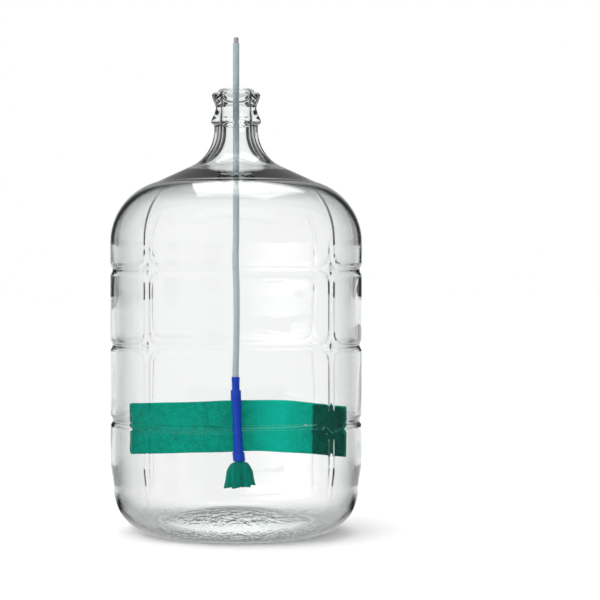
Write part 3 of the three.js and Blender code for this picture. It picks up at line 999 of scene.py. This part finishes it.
def make_plastic(name, dark, light, rough, scale, painted_light=0.0):
    """An extruded tube: two near colours in streaks along it, its roughness uneven, and a shallow bump. Below
    the bottle's neck its colour is painted paler by the share that the last argument gives, as painted light
    where the piece stands inside the glass."""
    material, tree, shader = new_material(name, Specular_IOR_Level=0.25)
    place = node(tree, "ShaderNodeTexCoord").outputs["Object"]
    lines = placed(tree, streaks, place, Scale=scale, Stretch=0.04)
    uneven = placed(tree, mottle, place, Coarse=45.0, Fine=380.0, Fine_Share=0.3)
    share = math(tree, "MULTIPLY", math(tree, "ADD", lines, uneven), 0.5)
    height = node(tree, "ShaderNodeSeparateXYZ", {"Vector": place}).outputs[2]
    colour = blend_colours(tree, share, dark, light)
    # Painted light: the sleeve is paler below the neck, inside the glass.
    painted_light_below_neck = ramp(tree, height, *PAINTED_LIGHT_SPAN, painted_light, 0.0)
    colour = blend_colours(tree, painted_light_below_neck, colour, (0.78, 0.88, 0.90))
    tree.links.new(colour, shader.inputs["Base Color"])
    tree.links.new(ramp(tree, uneven, 0.0, 1.0, rough - 0.06, rough + 0.08), shader.inputs["Roughness"])
    bump = node(tree, "ShaderNodeBump", {"Strength": 0.12, "Distance": 0.0002, "Height": share})
    tree.links.new(bump.outputs["Normal"], shader.inputs["Normal"])
    return material


cloth, pad_finish, steel = make_cloth(), make_pad_finish(), make_steel()
# The sleeve gets painted light below the neck.
sleeve_plastic = make_plastic(
    "sleeve_plastic", (0.205, 0.265, 0.278), (0.290, 0.365, 0.378), 0.42, 1100.0, painted_light=0.38
)
tubing = make_plastic("blue_tubing", (0.0005, 0.034, 0.400), (0.002, 0.068, 0.620), 0.34, 700.0)

# %% [markdown]
# ## Where each piece belongs
# A piece rides on a body of the frame, stands for one node of the imported model, and takes its finish from a
# slot. The real cloth folds against the tube to pass the neck. Here each cloth piece only gets a mesh of its
# own; this script doesn't squash or fold it, so it is still too wide for the neck.

# %% Settle the pieces
settle(rod, "wand", "drive_rod", steel)
settle(sleeve, "sleeve", "shaft_sleeve", sleeve_plastic)
settle(coupling, "wand", "coupling_tube", tubing)
settle(holder, "wand", "holder_tube", tubing)
settle(cuff, "wand", "end_collar", tubing)
settle(tuft, "wand", "bottom_tuft", cloth)
for name, piece in strip_pieces.items():
    settle(piece, "wand", f"{name}_strip", cloth)
for (name, side), piece in pads.items():
    settle(piece, "wand", f"{name}_{side}_pad", pad_finish)


def cloth_area(piece):
    """Half the closed surface, which is the cloth's own area, in square metres."""
    area = np.empty(len(piece.data.polygons))
    piece.data.polygons.foreach_get("area", area)
    return area.sum() / 2


tuft_area = cloth_area(tuft)

for piece in [*strip_pieces.values(), *pads.values(), tuft]:
    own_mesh(piece)

# %% [markdown]
# ## The studio
# Clear glass in a white room is drawn by dark flags to the sides: where the wall bends the light most, at
# its edges and grooves, it shows the flags, and that makes the outlines. So each kind of ray gets a light
# of its own. The camera sees plain white. Rays bent by glass see a white room with eight dark upright
# stripes, dimmer at the top and the sides. Mirrored rays see a dark room with one soft light, and a share
# of the striped room towards +Y or deep inside the glass. Cloth and paper are lit by a soft surround that
# is brighter from the front left. The directions suit the view along +Y best.

# %% Surround
FLAG_DARK, FLAG_BRIGHT = 0.02, 1.03
FLAG_TOP, FLAG_SIDE = 0.62, 0.86
SOFT, SOFT_KEY = 0.58, 2.4
GLOSS, GLOSS_KEY, INSIDE, BEHIND = 0.04, 5.0, 0.62, 0.60
KEY_AIM = (-0.70, -0.62, 0.36)  # towards the soft light


def make_world():
    """Strength by kind of ray: 1 for the camera; a soft surround with a broad lobe, the squared cosine to the
    key, after a matt bounce; after a mirrored one the larger of a dark room's light and a share of the
    flags; and else the flags."""
    world = bpy.data.worlds.new("studio")
    bpy.context.scene.world = world
    world.use_nodes = True
    tree = world.node_tree
    tree.nodes.clear()
    towards = node(tree, "ShaderNodeTexCoord").outputs["Generated"]
    axes = node(tree, "ShaderNodeSeparateXYZ", {"Vector": towards}).outputs
    turn = math(tree, "ARCTAN2", axes[0], axes[1])
    wave = math(tree, "COSINE", math(tree, "MULTIPLY", turn, 8.0))
    flags = ramp(tree, wave, -0.62, -0.30, FLAG_DARK, FLAG_BRIGHT)
    flags = math(tree, "MULTIPLY", flags, ramp(tree, axes[2], 0.12, 0.30, 1.0, FLAG_TOP))
    sideways = math(tree, "ABSOLUTE", axes[0])
    flags = math(tree, "MULTIPLY", flags, ramp(tree, sideways, 0.03, 0.35, 1.0, FLAG_SIDE))
    aim = node(tree, "ShaderNodeVectorMath", {0: towards, 1: KEY_AIM}, operation="DOT_PRODUCT")
    lobe = math(tree, "POWER", math(tree, "MAXIMUM", aim.outputs["Value"], 0.0), 2.0)
    soft = math(tree, "ADD", math(tree, "MULTIPLY", lobe, SOFT_KEY), SOFT)
    rays = node(tree, "ShaderNodeLightPath").outputs
    matt = math(tree, "MINIMUM", rays["Diffuse Depth"], 1.0)
    past_glass = ramp(tree, rays["Transmission Depth"], 2.0, 3.0, 0.04, 1.0)
    key = math(tree, "MULTIPLY", math(tree, "POWER", lobe, 3.0), past_glass)
    dim = math(tree, "ADD", math(tree, "MULTIPLY", key, GLOSS_KEY), GLOSS)
    glanced = math(tree, "MINIMUM", rays["Glossy Depth"], 1.0)
    deep = math(tree, "MULTIPLY", math(tree, "GREATER_THAN", rays["Transmission Depth"], 2.5), INSIDE)
    behind = math(tree, "MAXIMUM", ramp(tree, axes[1], 0.45, 0.80, 0.0, BEHIND), deep)
    mirrored = math(tree, "MAXIMUM", math(tree, "MULTIPLY", flags, behind), dim)
    clear = node(tree, "ShaderNodeMix", {0: glanced, 2: flags, 3: mirrored}).outputs[0]
    seen = node(tree, "ShaderNodeMix", {0: matt, 2: clear, 3: soft}).outputs[0]
    strength = node(tree, "ShaderNodeMix", {0: rays["Is Camera Ray"], 2: seen, 3: 1.0}).outputs[0]
    back = node(tree, "ShaderNodeBackground", {"Color": (1.0, 1.0, 1.0, 1.0), "Strength": strength})
    node(tree, "ShaderNodeOutputWorld", {"Surface": back.outputs[0]})


make_world()


# %% [markdown]
# The floor is a sheet of pale paper of one colour that runs far back, so that it meets the white surround
# without an edge. Seen through glass or mirrored in it, the paper would look darker than the room, so it
# glows by itself for those rays. A big soft lamp above and behind adds a faint shadow before the bottle.


# %% Floor and lamp
PAPER = (0.97, 0.955, 0.955)
FLOOR_HALF = 120000.0


def make_floor():
    """A wide square of plain pale matt paper. It glows evenly for rays that glass has bent. For mirrored ones
    it glows towards +Y, close under the bottle, and deep inside the glass."""
    corners = FLOOR_HALF * np.array([[-1, -1, 0], [1, -1, 0], [1, 1, 0], [-1, 1, 0]])
    floor = make_mesh("floor", corners, np.array([[0, 1, 2, 3]]))
    material, tree, shader = new_material("paper", Roughness=1.0, Specular_IOR_Level=0.0)
    place = node(tree, "ShaderNodeTexCoord").outputs["Object"]
    rays = node(tree, "ShaderNodeLightPath").outputs
    bent = math(tree, "MAXIMUM", rays["Transmission Depth"], rays["Glossy Depth"])
    no_matt_bounce = math(tree, "LESS_THAN", rays["Diffuse Depth"], 0.5)
    unlit = math(tree, "MULTIPLY", math(tree, "MINIMUM", bent, 1.0), no_matt_bounce)
    colour = blend_colours(tree, unlit, PAPER, (0.0, 0.0, 0.0))
    deep = math(tree, "MULTIPLY", math(tree, "GREATER_THAN", rays["Transmission Depth"], 2.5), INSIDE)
    heading = node(tree, "ShaderNodeVectorMath", {0: place}, operation="NORMALIZE").outputs[0]
    far = node(tree, "ShaderNodeSeparateXYZ", {"Vector": heading}).outputs[1]
    behind = math(tree, "MAXIMUM", ramp(tree, far, 0.45, 0.80, GLOSS, FLAG_BRIGHT), deep)
    under = node(tree, "ShaderNodeVectorMath", {0: place}, operation="LENGTH").outputs["Value"]
    behind = math(tree, "MAXIMUM", behind, ramp(tree, under, 0.14, 0.19, 0.75, 0.0))
    glanced = math(tree, "MINIMUM", rays["Glossy Depth"], 1.0)
    glow = node(tree, "ShaderNodeMix", {0: glanced, 2: FLAG_BRIGHT, 3: behind}).outputs[0]
    tree.links.new(math(tree, "MULTIPLY", glow, unlit), shader.inputs["Emission Strength"])
    shader.inputs["Emission Color"].default_value = (1.0, 1.0, 1.0, 1.0)
    tree.links.new(colour, shader.inputs["Base Color"])
    floor.data.materials.append(material)


def make_lamp(name, place, aim, size, power):
    """A square area lamp at a place, turned to face a point."""
    lamp = bpy.data.lights.new(name, "AREA")
    lamp.size = size
    lamp.energy = power
    stand = bpy.data.objects.new(name, lamp)
    stand.location = place
    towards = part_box("carboy_glass")[0].copy()
    towards.x, towards.y, towards.z = (a - p for a, p in zip(aim, place))
    stand.rotation_euler = towards.to_track_quat("-Z", "Y").to_euler()
    bpy.context.scene.collection.objects.link(stand)


make_floor()
make_lamp("overhead", place=(0.1, 0.45, 1.9), aim=(0.0, 0.0, 0.1), size=1.3, power=14.0)
bpy.context.scene.view_settings.view_transform = "Standard"
